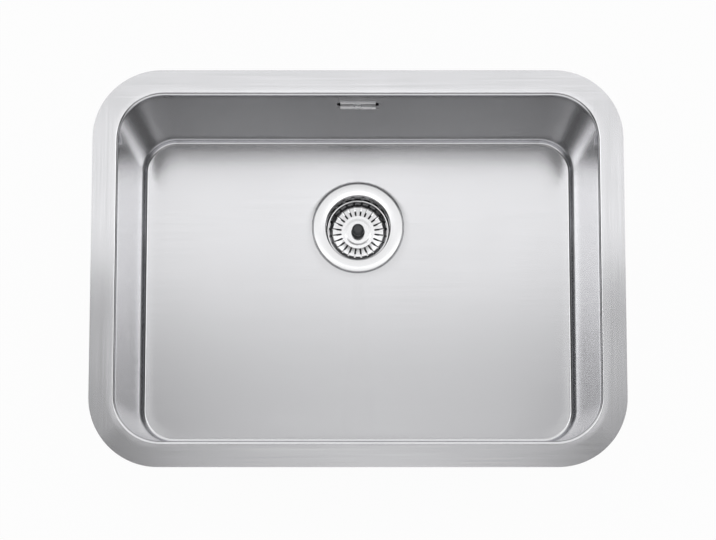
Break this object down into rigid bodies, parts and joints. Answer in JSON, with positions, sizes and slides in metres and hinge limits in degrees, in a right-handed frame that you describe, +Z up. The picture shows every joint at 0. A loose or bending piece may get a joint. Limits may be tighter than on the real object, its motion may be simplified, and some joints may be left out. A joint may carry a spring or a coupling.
{
  "type": "undermount kitchen sink",
  "caption": "Drawn stainless steel undermount kitchen sink bowl with rear-centre basket waste, lift-out strainer basket and wall overflow piped to the waste body",
  "frame": {"origin": "the middle of the bowl opening, in the top plane of the flange that bears on the underside of the worktop", "axes": "+Z up, out of the bowl's mouth; +X along the long side; +Y towards the rear wall, which has the overflow"},
  "size_m": [0.6, 0.45, 0.3164],
  "materials": {
    "bowl_steel": "satin",
    "polished_steel": "polished",
    "fastener_steel": "plain",
    "insert_brass": "plain",
    "knob_plastic": "semi-gloss",
    "clip_plastic": "plain",
    "body_plastic": "moulded",
    "hose_plastic": "moulded",
    "seal_rubber": "plain",
    "pad_rubber": "matt"
  },
  "bodies": {
    "sink": {"bowl": "bowl_steel", "sound_pad": "pad_rubber", "strainer_dish": "polished_steel", "clamp_screw": "fastener_steel", "clamp_insert": "insert_brass", "flange_seal": "seal_rubber", "body_seal": "seal_rubber", "waste_body": "body_plastic", "overflow_cover": "polished_steel", "overflow_screw": "fastener_steel", "overflow_gasket": "seal_rubber", "overflow_head": "body_plastic", "overflow_insert": "insert_brass", "overflow_hose": "hose_plastic", "hose_nuts": "body_plastic", "hose_washers": "seal_rubber"},
    "basket": {"basket_cup": "polished_steel", "basket_knob": "knob_plastic", "basket_stem": "fastener_steel", "basket_seal": "seal_rubber", "seal_washer": "fastener_steel", "stem_nut": "fastener_steel", "catch_clip": "clip_plastic"}
  },
  "joints": [
    {"name": "basket_lift", "type": "slide", "parent": "sink", "child": "basket", "axis": [0, 0, 1], "range_m": [0, 0.26]}
  ]
}
